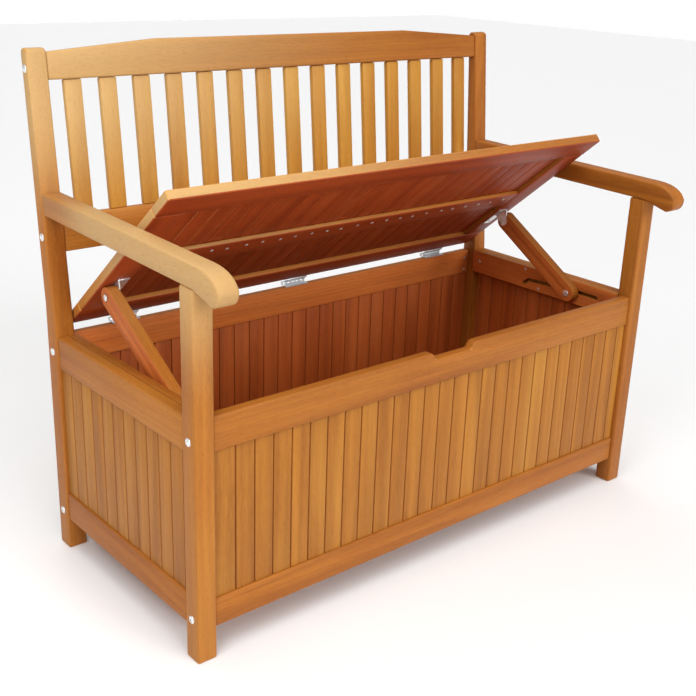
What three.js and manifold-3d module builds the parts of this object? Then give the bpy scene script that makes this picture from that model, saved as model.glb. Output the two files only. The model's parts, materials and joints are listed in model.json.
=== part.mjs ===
// Garden storage bench: a slatted back and two armrests over a boarded box whose seat is a hinged lid.
// Millimetres, +X across the bench, +Y to the rear, +Z up. Inside the bench group y = 0 is the front
// face of the front legs and z = 0 is the ground; the group is then shifted onto the part's own origin.
import * as THREE from 'three';
import * as BufferGeometryUtils from 'three/addons/utils/BufferGeometryUtils.js';
import Module from 'manifold-3d';

const wasm = await Module();
wasm.setup();

// ---- driving dimensions ----
const benchWidth = 1100;          // over the outer faces of the legs
const benchDepth = 487;           // front of the front legs to the back of the rear legs, on the ground
const boxTop = 427;               // top of the box's rails
const postRise = 491;             // rear post above the box's rails
const seam = 0.3;                 // gap left in every joint between two pieces

const legWidth = 36;
const frontLegDepth = 36;
const rearLegDepth = 37;
const postTopDepth = 22;          // the rear post is thinner at the top
const postRake = 31;              // how far the back of the post leans rearward at its top
const postKinkFront = 3;          // the front face leans back from this height above the box
const postKinkRear = 53;
const postChamfer = 5;

const armRise = 216;              // underside of the armrest above the box, at the rear
const armThickness = 38;
const armFall = 10;               // drop of the armrest from the post to the front leg
const armNose = 68;               // overhang of the armrest in front of the leg
const noseDrop = 52;              // height of the scrolled nose
const scroll = {                  // the nose's curve, as fractions of armNose and armThickness
  start: 0.12, shoulder: 0.84, brow: 0.74, chin: 0.72, throat: 0.06, ease: 2, chinEase: 3,
};

const frontRailInset = 5;
const frontRailThickness = 20;
const sideRailInset = 2;
const sideRailThickness = 22;
const rearRailInset = 2;
const rearRailThickness = 18;
const topRailHeight = 60;
const frontBottomRail = { bottom: 55, height: 52 };
const sideBottomRail = { bottom: 61, height: 57 };

const boardThickness = 10;
const boardRecess = 4;            // boards behind the outer faces of the rails
const boardPitch = 36.9;
const firstBoard = 43;            // width of the first board at the left end
const grooveHalf = 1.6;
const grooveDepth = 2;
const narrowestBoard = 7;

const notch = { halfTop: 58, halfFloor: 44, depth: 13 };

const guideThickness = 15;
const guideLedge = 7;             // wood left under the slot's hook
const floorLift = 9;              // underside of the floor above the lower edge of the side rails
const floorThickness = 10;
const battenWidth = 60;
const battenHeight = 15;

const lidThickness = 18;
const lidSideGap = 3;             // lid to the legs and armrests on each side
const lidRest = 1;                // closed lid above the rails
const lidFrontInset = 10;         // lid's front edge behind the front of the legs
const lidFrontRail = 55;
const lidRearRail = 55;
const lidSideRail = 55;
const lidBoardThickness = 8;
const lidBoardRecess = 0.5;
const lidBoardPitch = 37.3;
const lidBattenReach = 214;       // hinge axis to the near edge of the middle batten
const lidBattenWidth = 54;
const lidAngle = 40;              // the lid's opening as modelled, in degrees
const lidFullAngle = 70;

const rearRailDrop = 4;           // rear rail below the box's other rails, to clear the hinges
const hingeCrank = 17;            // hinge axis to the lid's rear edge, bridged by the lid's leaf
const hingeEndInset = 111;        // middle of each outer hinge from the lid's end
const hingeLength = 56;
const hingeCount = 3;
const knuckleRadius = 4.5;
const knuckleCount = 5;
const knuckleGap = 0.4;
const leafThickness = 1.6;
const leafMargin = 0.5;           // frame leaf to the inner edge of the rear rail
const hingePinRadius = 1.8;
const hingePinClearance = 0.3;
const hingePinOverhang = 0.5;
const boreOverrun = 1;            // a cutter runs this far past the faces it cuts

const slotFrontMargin = 52;       // closed guide pin behind the front leg
const reachShare = 3 / 7;         // prop's pivot along the lid, from the hinge to the closed guide pin
const propHalfWidth = 18;
const propThickness = 20;
const propGap = 5;                // prop to the face of the guide board
const propLidGap = 1.9;           // prop's edge to the lid's underside
const earThickness = 2.5;
const earRadius = 10;
const earLead = 24;               // bracket's front end ahead of the pivot
const earGap = 0.5;
const flangeThickness = 2;
const flangeWidth = 20;
const flangeLength = 62;
const studRadius = 3;
const studClearance = 0.4;
const studHeadRadius = 6;
const studHeadHeight = 2;

const slotDrop = 23;              // slot's centre line below the box's rails
const guidePinRadius = 3;
const slotClearance = 1;
const guidePinHeadRadius = 7;
const guidePinHeadHeight = 2.5;
const guidePinEndGap = 3;         // end of the pin to the side rail behind the guide board
const slotStep = 4;               // shortest step along the slot's centre line
const hookRun = 14;
const hookFall = 10;

const crest = { endDrop: 6, endHeight: 46, rise: 16, slopeRun: 214 };  // ends below the post's top
const lowerBackRail = { bottom: 146, height: 63 };
const backRailThickness = 18;
const backRailInset = 2;
const slatCount = 15;
const slatWidth = 33;
const slatThickness = 11;
const slatInset = 4;
const slatEndGap = 29.2;          // outer slats to the posts

// ---- places worked out from them ----
const halfWidth = benchWidth / 2;
const legInner = halfWidth - legWidth;
const rearLegFront = benchDepth - rearLegDepth;
const postTop = boxTop + postRise;
const postFrontKink = boxTop + postKinkFront;
const postRearKink = boxTop + postKinkRear;
const postFrontRun = postRake + rearLegDepth - postTopDepth;
const postFrontAt = (z) => rearLegFront + postFrontRun * (z - postFrontKink) / (postTop - postFrontKink);
const postRearAt = (z) => benchDepth + postRake * (z - postRearKink) / (postTop - postRearKink);
const backLean = Math.atan2(postFrontRun, postTop - postFrontKink);
const crestEnd = (postTop - postFrontKink) / Math.cos(backLean) - crest.endDrop;
const crestBottom = crestEnd - crest.endHeight;
const lowerBackTop = lowerBackRail.bottom + lowerBackRail.height;

const armRearZ = boxTop + armRise;
const armRearY = postFrontAt(armRearZ);
const armUnderAt = (y) => armRearZ - armFall * (armRearY - y) / armRearY;

const frontRailInner = frontRailInset + frontRailThickness;
const rearRailOuter = benchDepth - rearRailInset;
const rearRailInner = rearRailOuter - rearRailThickness;
const sideRailOuter = halfWidth - sideRailInset;
const sideRailInner = sideRailOuter - sideRailThickness;
const guideOuter = sideRailInner - seam;
const guideInner = guideOuter - guideThickness;
const railBottom = boxTop - topRailHeight;
const floorUnder = sideBottomRail.bottom + floorLift;

const rearRailTop = boxTop - rearRailDrop;
const hingeY = rearRailOuter;
const hingeZ = rearRailTop + knuckleGap + knuckleRadius;
const lidUnder = boxTop + lidRest - hingeZ;
const lidOver = lidUnder + lidThickness;
const lidHalf = legInner - lidSideGap;
const lidReach = hingeY - lidFrontInset;
const lidRearEdge = hingeCrank + knuckleGap;
const leafWidth = rearRailThickness - leafMargin;

const propOuter = guideInner - propGap;
const propInner = propOuter - propThickness;
const linkRun = hingeY - frontLegDepth - slotFrontMargin;
const propPivotReach = linkRun * reachShare;   // hinge axis to pivot, along the closed lid
const propLength = linkRun - propPivotReach;   // pivot to guide pin
const propPivotDrop = propHalfWidth + propLidGap - lidUnder;
const slotZ = boxTop - slotDrop;
const radians = THREE.MathUtils.degToRad;
const propClosedSlope = Math.asin((pivotAt(0).z - slotZ) / propLength);
const propRestSlope = Math.asin((pivotAt(lidAngle).z - slotZ) / propLength);
const propTurn = (propRestSlope - propClosedSlope) / radians(lidAngle);

const wood = { color: 0xc98a45, roughness: 0.55, metalness: 0 };
const darkWood = { color: 0x9a5527, roughness: 0.6, metalness: 0 };
const zinc = { color: 0xc9cbce, roughness: 0.3, metalness: 1 };

// ---- linkage: the prop steepens at a constant share of the lid's own turn, which holds the guide pin
// at the slot's height both when the lid is closed and as modelled ----
function pivotAt(angle) {
  const a = radians(angle);
  return {
    y: hingeY - propPivotReach * Math.cos(a) - propPivotDrop * Math.sin(a),
    z: hingeZ + propPivotReach * Math.sin(a) - propPivotDrop * Math.cos(a),
  };
}

function guidePinAt(angle) {
  const pivot = pivotAt(angle);
  const slope = propClosedSlope + propTurn * radians(angle);
  return {
    y: pivot.y - propLength * Math.cos(slope),
    z: pivot.z - propLength * Math.sin(slope),
  };
}

// ---- making meshes ----
function mesh(name, geometry, look) {
  const made = new THREE.Mesh(geometry, new THREE.MeshStandardMaterial(look));
  made.name = name;
  return made;
}

function block(name, x, y, z, look = wood) {
  const made = mesh(name, new THREE.BoxGeometry(x[1] - x[0], y[1] - y[0], z[1] - z[0]), look);
  made.position.set((x[0] + x[1]) / 2, (y[0] + y[1]) / 2, (z[0] + z[1]) / 2);
  return made;
}

function blockSolid(x, y, z) {
  const geometry = new THREE.BoxGeometry(x[1] - x[0], y[1] - y[0], z[1] - z[0]);
  geometry.translate((x[0] + x[1]) / 2, (y[0] + y[1]) / 2, (z[0] + z[1]) / 2);
  return solid(geometry);
}

function extruded(shape, thickness) {
  return new THREE.ExtrudeGeometry(shape, { depth: thickness, bevelEnabled: false, curveSegments: 8 });
}

// a side profile drawn in (y, z) and given its thickness from x0 to x1
function sideProfile(shape, x0, x1) {
  const geometry = extruded(shape, x1 - x0);
  const basis = new THREE.Matrix4().makeBasis(
    new THREE.Vector3(0, 1, 0), new THREE.Vector3(0, 0, 1), new THREE.Vector3(1, 0, 0));
  return geometry.applyMatrix4(basis).translate(x0, 0, 0);
}

// a front profile drawn in (x, z) and given its thickness from y0 back to y1
function frontProfile(shape, y0, y1) {
  const geometry = extruded(shape, y1 - y0);
  const basis = new THREE.Matrix4().makeBasis(
    new THREE.Vector3(1, 0, 0), new THREE.Vector3(0, 0, 1), new THREE.Vector3(0, -1, 0));
  return geometry.applyMatrix4(basis).translate(0, y1, 0);
}

function polygon(points) {
  return new THREE.Shape(points.map(([a, b]) => new THREE.Vector2(a, b)));
}

// a rod along X
function rodGeometry(radius, x0, x1, segments = 20) {
  const geometry = new THREE.CylinderGeometry(radius, radius, x1 - x0, segments);
  return geometry.rotateZ(Math.PI / 2).translate((x0 + x1) / 2, 0, 0);
}

function solid(geometry) {
  const merged = geometry.clone();
  merged.deleteAttribute('normal');
  merged.deleteAttribute('uv');
  const closed = BufferGeometryUtils.mergeVertices(merged);
  return new wasm.Manifold(new wasm.Mesh({
    numProp: 3,
    vertProperties: new Float32Array(closed.attributes.position.array),
    triVerts: new Uint32Array(closed.index.array),
  }));
}

function geometryOf(body) {
  const result = body.getMesh();
  const geometry = new THREE.BufferGeometry();
  geometry.setAttribute('position', new THREE.BufferAttribute(new Float32Array(result.vertProperties), 3));
  geometry.setIndex(new THREE.BufferAttribute(new Uint32Array(result.triVerts), 1));
  geometry.computeVertexNormals();
  return geometry;
}

// ---- legs, posts and arms ----
function frontLeg(name, side) {
  const top = (y) => armUnderAt(y) - seam;
  const outline = polygon([[0, 0], [frontLegDepth, 0], [frontLegDepth, top(frontLegDepth)], [0, top(0)]]);
  return mesh(name, sideProfile(outline, ...across(side, legInner, halfWidth)), wood);
}

function rearLeg(name, side) {
  const shoulder = postTop - postChamfer;
  const outline = polygon([
    [rearLegFront, 0], [benchDepth, 0], [benchDepth, postRearKink],
    [postRearAt(shoulder), shoulder], [postRearAt(postTop) - postChamfer, postTop],
    [postFrontAt(postTop) + postChamfer, postTop], [postFrontAt(shoulder), shoulder],
    [rearLegFront, postFrontKink],
  ]);
  return mesh(name, sideProfile(outline, ...across(side, legInner, halfWidth)), wood);
}

function armrest(name, side) {
  const under = armUnderAt(0);
  const over = under + armThickness;
  const tip = over - noseDrop;
  const rearTop = armRearZ + armThickness;
  const outline = new THREE.Shape();
  outline.moveTo(postFrontAt(armRearZ) - seam, armRearZ);
  outline.lineTo(postFrontAt(rearTop) - seam, rearTop);
  outline.lineTo(-armNose * scroll.start, over);
  outline.quadraticCurveTo(-armNose * scroll.shoulder, over - scroll.ease,
    -armNose, over - armThickness * scroll.brow);
  outline.quadraticCurveTo(-armNose, tip + scroll.chinEase, -armNose * scroll.chin, tip);
  outline.lineTo(-armNose * scroll.throat, under - scroll.ease);
  outline.lineTo(0, under);
  return mesh(name, sideProfile(outline, ...across(side, legInner, halfWidth)), wood);
}

// the span from near to far, measured from the middle, on the left (-1) or right (+1)
function across(side, near, far) {
  return side < 0 ? [-far, -near] : [near, far];
}

// ---- boards joined into a panel: a plan outline with a V-groove at each seam ----
function boardPanel(length, thickness, pitch, first) {
  const seams = [];
  for (let at = first; at < length - narrowestBoard; at += pitch) seams.push(at);
  const face = (at, depth, inward) => [
    [at - grooveHalf, depth], [at, depth + inward * grooveDepth], [at + grooveHalf, depth]];
  const outer = seams.flatMap((at) => face(at, 0, 1));
  const inner = seams.flatMap((at) => face(at, thickness, -1)).reverse();
  return [[0, 0], ...outer, [length, 0], [length, thickness], ...inner, [0, thickness]];
}

function crosswisePanel(name, x0, x1, y0, z, thickness, pitch, first, look) {
  const outline = polygon(boardPanel(x1 - x0, thickness, pitch, first).map(([a, b]) => [x0 + a, y0 + b]));
  return mesh(name, extruded(outline, z[1] - z[0]).translate(0, 0, z[0]), look);
}

function sidePanel(name, side, z) {
  const outer = sideRailOuter - boardRecess;
  const from = frontLegDepth + seam;
  const length = rearLegFront - seam - from;
  const points = boardPanel(length, boardThickness, boardPitch, boardPitch)
    .map(([a, b]) => [side * (outer - b), from + a]);
  return mesh(name, extruded(polygon(points), z[1] - z[0]).translate(0, 0, z[0]), wood);
}

// ---- the box ----
function frontTopRail() {
  const end = legInner - seam;
  const floor = boxTop - notch.depth;
  const outline = new THREE.Shape();
  outline.moveTo(-end, railBottom);
  outline.lineTo(end, railBottom);
  outline.lineTo(end, boxTop);
  outline.lineTo(notch.halfTop, boxTop);
  outline.quadraticCurveTo((notch.halfTop + notch.halfFloor) / 2, boxTop, notch.halfFloor, floor);
  outline.lineTo(-notch.halfFloor, floor);
  outline.quadraticCurveTo(-(notch.halfTop + notch.halfFloor) / 2, boxTop, -notch.halfTop, boxTop);
  outline.lineTo(-end, boxTop);
  return mesh('front_top_rail', frontProfile(outline, frontRailInset, frontRailInner), wood);
}

// the slot follows the guide pin's own path, then hooks down and back
function slotOutline() {
  const steps = 10;
  const pins = Array.from({ length: steps + 1 }, (_, i) => guidePinAt(lidFullAngle * i / steps));
  const frontEnd = Math.min(...pins.map((pin) => pin.y)) - slotClearance;
  const path = [new THREE.Vector2(frontEnd, slotZ)];
  for (const pin of pins) {
    if (pin.y > path[path.length - 1].x + slotStep) path.push(new THREE.Vector2(pin.y, pin.z));
  }
  const last = path[path.length - 1];
  path.push(new THREE.Vector2(last.x + hookRun, last.y - hookFall));
  const half = guidePinRadius + slotClearance;
  const sideOf = (sign) => path.map((point, i) => {
    const before = path[Math.max(i - 1, 0)];
    const after = path[Math.min(i + 1, path.length - 1)];
    const along = after.clone().sub(before).normalize();
    return new THREE.Vector2(point.x - sign * along.y * half, point.y + sign * along.x * half);
  });
  const capSteps = 6;
  const cap = (centre, startAngle) => {
    const points = [];
    for (let i = 1; i < capSteps; i += 1) {
      const a = startAngle + Math.PI * i / capSteps;
      points.push(new THREE.Vector2(centre.x + half * Math.cos(a), centre.y + half * Math.sin(a)));
    }
    return points;
  };
  const firstAlong = path[1].clone().sub(path[0]).angle();
  const lastAlong = path[path.length - 1].clone().sub(last).angle();
  return [
    ...sideOf(-1), ...cap(path[path.length - 1], lastAlong - Math.PI / 2),
    ...sideOf(1).reverse(), ...cap(path[0], firstAlong + Math.PI / 2),
  ];
}

function guideBoard(name, side) {
  const from = frontLegDepth + seam;
  const to = rearLegFront - seam;
  const slot = slotOutline();
  const bottom = Math.min(...slot.map((point) => point.y)) - guideLedge;
  const outline = polygon([[from, bottom], [to, bottom], [to, boxTop], [from, boxTop]]);
  outline.holes.push(new THREE.Path(slot));
  return mesh(name, sideProfile(outline, ...across(side, guideInner, guideOuter)), wood);
}

function floorBoards() {
  const wide = sideRailInner - seam;
  const narrow = legInner - seam;
  const front = frontRailInner + seam;
  const rear = rearRailInner - seam;
  const legBack = frontLegDepth + seam;
  const legFace = rearLegFront - seam;
  const right = [[narrow, front], [narrow, legBack], [wide, legBack],
    [wide, legFace], [narrow, legFace], [narrow, rear]];
  const left = right.map(([x, y]) => [-x, y]).reverse();
  const geometry = extruded(polygon([...right, ...left]), floorThickness).translate(0, 0, floorUnder);
  return mesh('floor_boards', geometry, darkWood);
}

function box() {
  const group = new THREE.Group();
  const railEnd = legInner - seam;
  const railSpan = [-railEnd, railEnd];
  const topRail = [railBottom, boxTop];
  const frontBottomTop = frontBottomRail.bottom + frontBottomRail.height;
  const sideBottomTop = sideBottomRail.bottom + sideBottomRail.height;
  const frontLow = [frontBottomRail.bottom, frontBottomTop];
  const sideLow = [sideBottomRail.bottom, sideBottomTop];
  const sideRun = [frontLegDepth + seam, rearLegFront - seam];
  const frontPanel = [frontBottomTop + seam, railBottom - seam];
  const sidePanelZ = [sideBottomTop + seam, railBottom - seam];
  const rearPanelY = rearRailInner + (rearRailThickness - boardThickness) / 2;
  group.add(frontTopRail());
  group.add(block('front_bottom_rail', railSpan, [frontRailInset, frontRailInner], frontLow));
  group.add(crosswisePanel('front_boards', -railEnd, railEnd, frontRailInset + boardRecess, frontPanel,
    boardThickness, boardPitch, firstBoard, wood));
  group.add(block('rear_top_rail', railSpan, [rearRailInner, rearRailOuter], [railBottom, rearRailTop]));
  group.add(block('rear_bottom_rail', railSpan, [rearRailInner, rearRailOuter], frontLow));
  group.add(crosswisePanel('rear_boards', -railEnd, railEnd, rearPanelY, frontPanel,
    boardThickness, boardPitch, firstBoard, darkWood));
  for (const [word, side] of [['left', -1], ['right', 1]]) {
    const rail = across(side, sideRailInner, sideRailOuter);
    group.add(block(`${word}_side_top_rail`, rail, sideRun, topRail));
    group.add(block(`${word}_side_bottom_rail`, rail, sideRun, sideLow));
    group.add(sidePanel(`${word}_side_boards`, side, sidePanelZ));
    group.add(guideBoard(`${word}_guide_board`, side));
  }
  group.add(floorBoards());
  const battenMiddle = (frontRailInner + rearRailInner) / 2;
  const battenY = [battenMiddle - battenWidth / 2, battenMiddle + battenWidth / 2];
  const battenEnd = sideRailInner - seam;
  group.add(block('floor_batten', [-battenEnd, battenEnd], battenY,
    [floorUnder - seam - battenHeight, floorUnder - seam], darkWood));
  return group;
}

// ---- the slatted back, built upright and then leaned with the posts ----
function back() {
  const group = new THREE.Group();
  const end = legInner - seam;
  const railFace = [backRailInset, backRailInset + backRailThickness];
  const slatFace = [slatInset + backRailInset, slatInset + backRailInset + slatThickness];
  const flatHalf = end - crest.slopeRun;
  const crestTop = crestEnd + crest.rise;
  const crestOutline = polygon([
    [-end, crestBottom], [end, crestBottom], [end, crestEnd],
    [flatHalf, crestTop], [-flatHalf, crestTop], [-end, crestEnd]]);
  group.add(mesh('crest_rail', frontProfile(crestOutline, ...railFace), wood));
  group.add(block('lower_back_rail', [-end, end], railFace, [lowerBackRail.bottom, lowerBackTop]));
  const slatPitch = (2 * (legInner - slatEndGap) - slatWidth) / (slatCount - 1);
  for (let i = 0; i < slatCount; i += 1) {
    const middle = (i - (slatCount - 1) / 2) * slatPitch;
    group.add(block(`back_slat_${String(i + 1).padStart(2, '0')}`,
      [middle - slatWidth / 2, middle + slatWidth / 2], slatFace,
      [lowerBackTop + seam, crestBottom - seam]));
  }
  group.position.set(0, rearLegFront, postFrontKink);
  group.rotation.x = -backLean;
  return group;
}

// ---- hinges: five knuckles, three on the frame leaf and two on the lid leaf ----
function hingeLeaf(name, middle, onLid) {
  const start = middle - hingeLength / 2;
  const step = hingeLength / knuckleCount;
  const ends = [start, start + hingeLength];
  const half = leafThickness / 2;
  // the lid's leaf runs forward from the axis and turns up the lid's rear edge
  let leaf = onLid
    ? blockSolid(ends, [-hingeCrank, 0], [-half, half]).add(
      blockSolid(ends, [-hingeCrank, leafThickness - hingeCrank], [-half, lidOver - leafThickness]))
    : blockSolid(ends, [-leafWidth, 0], [-knuckleRadius, leafThickness - knuckleRadius]);
  for (let i = 0; i < knuckleCount; i += 1) {
    const mine = (i % 2 === 1) === onLid;
    const span = [start + i * step, start + (i + 1) * step];
    if (mine) {
      leaf = leaf.add(solid(rodGeometry(knuckleRadius, span[0] + knuckleGap / 2, span[1] - knuckleGap / 2)));
    } else {
      leaf = leaf.subtract(solid(rodGeometry(knuckleRadius + knuckleGap, span[0], span[1])));
    }
  }
  const bore = solid(rodGeometry(hingePinRadius + hingePinClearance,
    ends[0] - boreOverrun, ends[1] + boreOverrun));
  return mesh(name, geometryOf(leaf.subtract(bore)), zinc);
}

function hingePlaces() {
  const reach = lidHalf - hingeEndInset;
  return Array.from({ length: hingeCount }, (_, i) => (2 * i / (hingeCount - 1) - 1) * reach);
}

const hingeWords = ['left', 'middle', 'right'];

function hingeFixedHalves() {
  const group = new THREE.Group();
  hingePlaces().forEach((middle, i) => {
    group.add(hingeLeaf(`${hingeWords[i]}_hinge_frame_leaf`, middle, false));
    const half = hingeLength / 2 + hingePinOverhang;
    group.add(mesh(`${hingeWords[i]}_hinge_pin`,
      rodGeometry(hingePinRadius, middle - half, middle + half, 16), zinc));
  });
  group.position.set(0, hingeY, hingeZ);
  return group;
}

// ---- the lid, built closed around the hinge axis and then opened ----
function propBracket(name, side) {
  const earOuter = propInner - earGap;
  const earInner = earOuter - earThickness;
  const flangeTop = lidUnder - seam;
  const outline = new THREE.Shape();
  const from = -propPivotReach - earLead;
  outline.moveTo(-propPivotReach + earRadius, flangeTop);
  outline.lineTo(from, flangeTop);
  outline.lineTo(from + earRadius / 2, flangeTop - earRadius);
  outline.lineTo(-propPivotReach - earRadius, -propPivotDrop);
  outline.absarc(-propPivotReach, -propPivotDrop, earRadius, Math.PI, Math.PI * 2, false);
  const ear = solid(sideProfile(outline, ...across(side, earInner, earOuter)));
  const flange = blockSolid(across(side, earInner - flangeWidth, earOuter), [from, from + flangeLength],
    [flangeTop - flangeThickness, flangeTop]);
  const headFrom = propOuter + earGap;
  const rod = (radius, near, far) => solid(rodGeometry(radius, ...across(side, near, far))
    .translate(0, -propPivotReach, -propPivotDrop));
  const stud = rod(studRadius, earInner, headFrom + studHeadHeight);
  const head = rod(studHeadRadius, headFrom, headFrom + studHeadHeight);
  return mesh(name, geometryOf(ear.add(flange).add(stud).add(head)), zinc);
}

function prop(name, side) {
  const outline = new THREE.Shape();
  outline.absarc(0, 0, propHalfWidth, -Math.PI / 2, Math.PI / 2, false);
  outline.absarc(-propLength, 0, propHalfWidth, Math.PI / 2, Math.PI * 1.5, false);
  const hole = (y, radius) => new THREE.Path().absarc(y, 0, radius, 0, Math.PI * 2, true);
  outline.holes.push(hole(0, studRadius + studClearance));
  outline.holes.push(hole(-propLength, guidePinRadius + seam));
  return mesh(name, sideProfile(outline, ...across(side, propInner, propOuter)), wood);
}

function guidePin(name, side) {
  const headOuter = propInner - seam;
  const rod = (radius, near, far) => solid(rodGeometry(radius, ...across(side, near, far)));
  const head = rod(guidePinHeadRadius, headOuter - guidePinHeadHeight, headOuter);
  const shank = rod(guidePinRadius, headOuter - guidePinHeadHeight, guideOuter - guidePinEndGap);
  return mesh(name, geometryOf(head.add(shank).translate([0, -propLength, 0])), zinc);
}

function lid() {
  const group = new THREE.Group();
  const frame = [lidUnder, lidOver];
  const rearRail = [-lidRearEdge - lidRearRail, -lidRearEdge];
  const frontRail = [-lidReach, -lidReach + lidFrontRail];
  const middleRun = [frontRail[1] + seam, rearRail[0] - seam];
  const inner = lidHalf - lidSideRail;
  const boardTop = lidOver - lidBoardRecess;
  const boards = [boardTop - lidBoardThickness, boardTop];
  const battenEnd = inner - seam;
  group.add(block('lid_front_rail', [-lidHalf, lidHalf], frontRail, frame));
  group.add(block('lid_rear_rail', [-lidHalf, lidHalf], rearRail, frame));
  group.add(block('lid_batten', [-battenEnd, battenEnd],
    [-lidBattenReach - lidBattenWidth, -lidBattenReach], [lidUnder, boards[0] - seam]));
  for (const [word, side] of [['left', -1], ['right', 1]]) {
    group.add(block(`lid_${word}_rail`, across(side, inner, lidHalf), middleRun, frame));
    group.add(propBracket(`${word}_prop_bracket`, side));
    const arm = new THREE.Group();
    arm.add(prop(`${word}_prop`, side));
    arm.add(guidePin(`${word}_guide_pin`, side));
    arm.position.set(0, -propPivotReach, -propPivotDrop);
    arm.rotation.x = propRestSlope + radians(lidAngle);
    group.add(arm);
  }
  const panel = boardPanel(2 * battenEnd, lidBoardThickness, lidBoardPitch, lidBoardPitch);
  const panelOutline = polygon(panel.map(([a, b]) => [a - battenEnd, b + boards[0]]));
  group.add(mesh('lid_boards', frontProfile(panelOutline, ...middleRun), wood));
  hingePlaces().forEach((middle, i) => {
    group.add(hingeLeaf(`${hingeWords[i]}_hinge_lid_leaf`, middle, true));
  });
  group.position.set(0, hingeY, hingeZ);
  group.rotation.x = -radians(lidAngle);
  return group;
}

// ---- the whole bench ----
const bench = new THREE.Group();
for (const [word, side] of [['left', -1], ['right', 1]]) {
  bench.add(frontLeg(`${word}_front_leg`, side));
  bench.add(rearLeg(`${word}_rear_leg`, side));
  bench.add(armrest(`${word}_armrest`, side));
}
bench.add(box());
bench.add(back());
bench.add(hingeFixedHalves());
bench.add(lid());
bench.position.y = -(postRearAt(postTop - postChamfer) - armNose) / 2;

const part = new THREE.Group();
part.add(bench);
export default part;
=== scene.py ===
import json
import math
import random

import bmesh
import bpy
from mathutils import Matrix, Vector


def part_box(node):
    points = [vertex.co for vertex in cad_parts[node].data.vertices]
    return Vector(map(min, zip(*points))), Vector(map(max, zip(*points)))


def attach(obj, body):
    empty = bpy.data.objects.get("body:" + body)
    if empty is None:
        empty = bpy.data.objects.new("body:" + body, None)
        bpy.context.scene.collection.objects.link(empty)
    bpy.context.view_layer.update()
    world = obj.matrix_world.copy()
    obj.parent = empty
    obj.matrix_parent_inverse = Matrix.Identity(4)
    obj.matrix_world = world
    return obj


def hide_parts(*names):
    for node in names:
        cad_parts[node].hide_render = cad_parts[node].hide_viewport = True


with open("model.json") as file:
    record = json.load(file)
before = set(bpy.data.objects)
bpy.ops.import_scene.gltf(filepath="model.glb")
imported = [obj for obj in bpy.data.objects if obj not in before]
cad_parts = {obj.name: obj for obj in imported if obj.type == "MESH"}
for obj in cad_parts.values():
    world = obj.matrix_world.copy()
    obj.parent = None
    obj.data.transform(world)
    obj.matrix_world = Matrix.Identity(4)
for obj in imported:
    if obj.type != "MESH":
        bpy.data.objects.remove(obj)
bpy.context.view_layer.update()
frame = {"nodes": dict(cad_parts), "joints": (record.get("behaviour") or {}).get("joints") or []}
print("frame loaded:", len(frame["nodes"]), "nodes")


class Signal:
    # one output socket; an operator adds a Math node to the tree that the socket is in
    def __init__(self, maker, socket):
        self.maker = maker
        self.socket = socket

    def math(self, operation, first, second):
        return self.maker.node("ShaderNodeMath", {"operation": operation}, {0: first, 1: second})

    def __add__(self, other):
        return self.math("ADD", self, other)

    __radd__ = __add__

    def __mul__(self, other):
        return self.math("MULTIPLY", self, other)

    __rmul__ = __mul__

    def __sub__(self, other):
        return self.math("SUBTRACT", self, other)

    def __rsub__(self, other):
        return self.math("SUBTRACT", other, self)

    def __truediv__(self, other):
        return self.math("DIVIDE", self, other)

    def __rtruediv__(self, other):
        return self.math("DIVIDE", other, self)


class NodeMaker:
    # makes the nodes of one tree, for materials and for geometry
    def __init__(self, tree):
        self.tree = tree
        self.tree.nodes.clear()

    def node(self, kind, settings=None, inputs=None, output=0):
        made = self.tree.nodes.new(kind)
        for name, value in (settings or {}).items():
            setattr(made, name, value)
        for name, value in (inputs or {}).items():
            if isinstance(value, Signal):
                self.tree.links.new(value.socket, made.inputs[name])
            else:
                made.inputs[name].default_value = value
        return Signal(self, made.outputs[output]) if made.outputs else None

    def attribute(self, name, output="Fac"):
        return self.node("ShaderNodeAttribute", {"attribute_name": name}, output=output)

    def mix(self, amount, first, second, blend="MIX"):
        # inputs 6 and 7 and output 2 are the node's colours
        settings = {"data_type": "RGBA", "blend_type": blend}
        return self.node("ShaderNodeMix", settings, {0: amount, 6: first, 7: second}, 2)

    def vector(self, operation, first, second):
        return self.node("ShaderNodeVectorMath", {"operation": operation}, {0: first, 1: second})

    def chance(self, seed, most=1.0):
        # output 1 is the number
        return self.node("FunctionNodeRandomValue", {"data_type": "FLOAT"}, {"Max": most, "Seed": seed}, 1)

    def combined(self, x, y, z):
        return self.node("ShaderNodeCombineXYZ", None, {0: x, 1: y, 2: z})

    def parts(self, vector):
        split = self.node("ShaderNodeSeparateXYZ", None, {0: vector}).socket.node
        return [Signal(self, output) for output in split.outputs]

    def between(self, value, low, high):
        # 0 up to low, 1 from high on, and a smooth step between them
        settings = {"interpolation_type": "SMOOTHSTEP"}
        return self.node("ShaderNodeMapRange", settings, {"Value": value, "From Min": low, "From Max": high})


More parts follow.
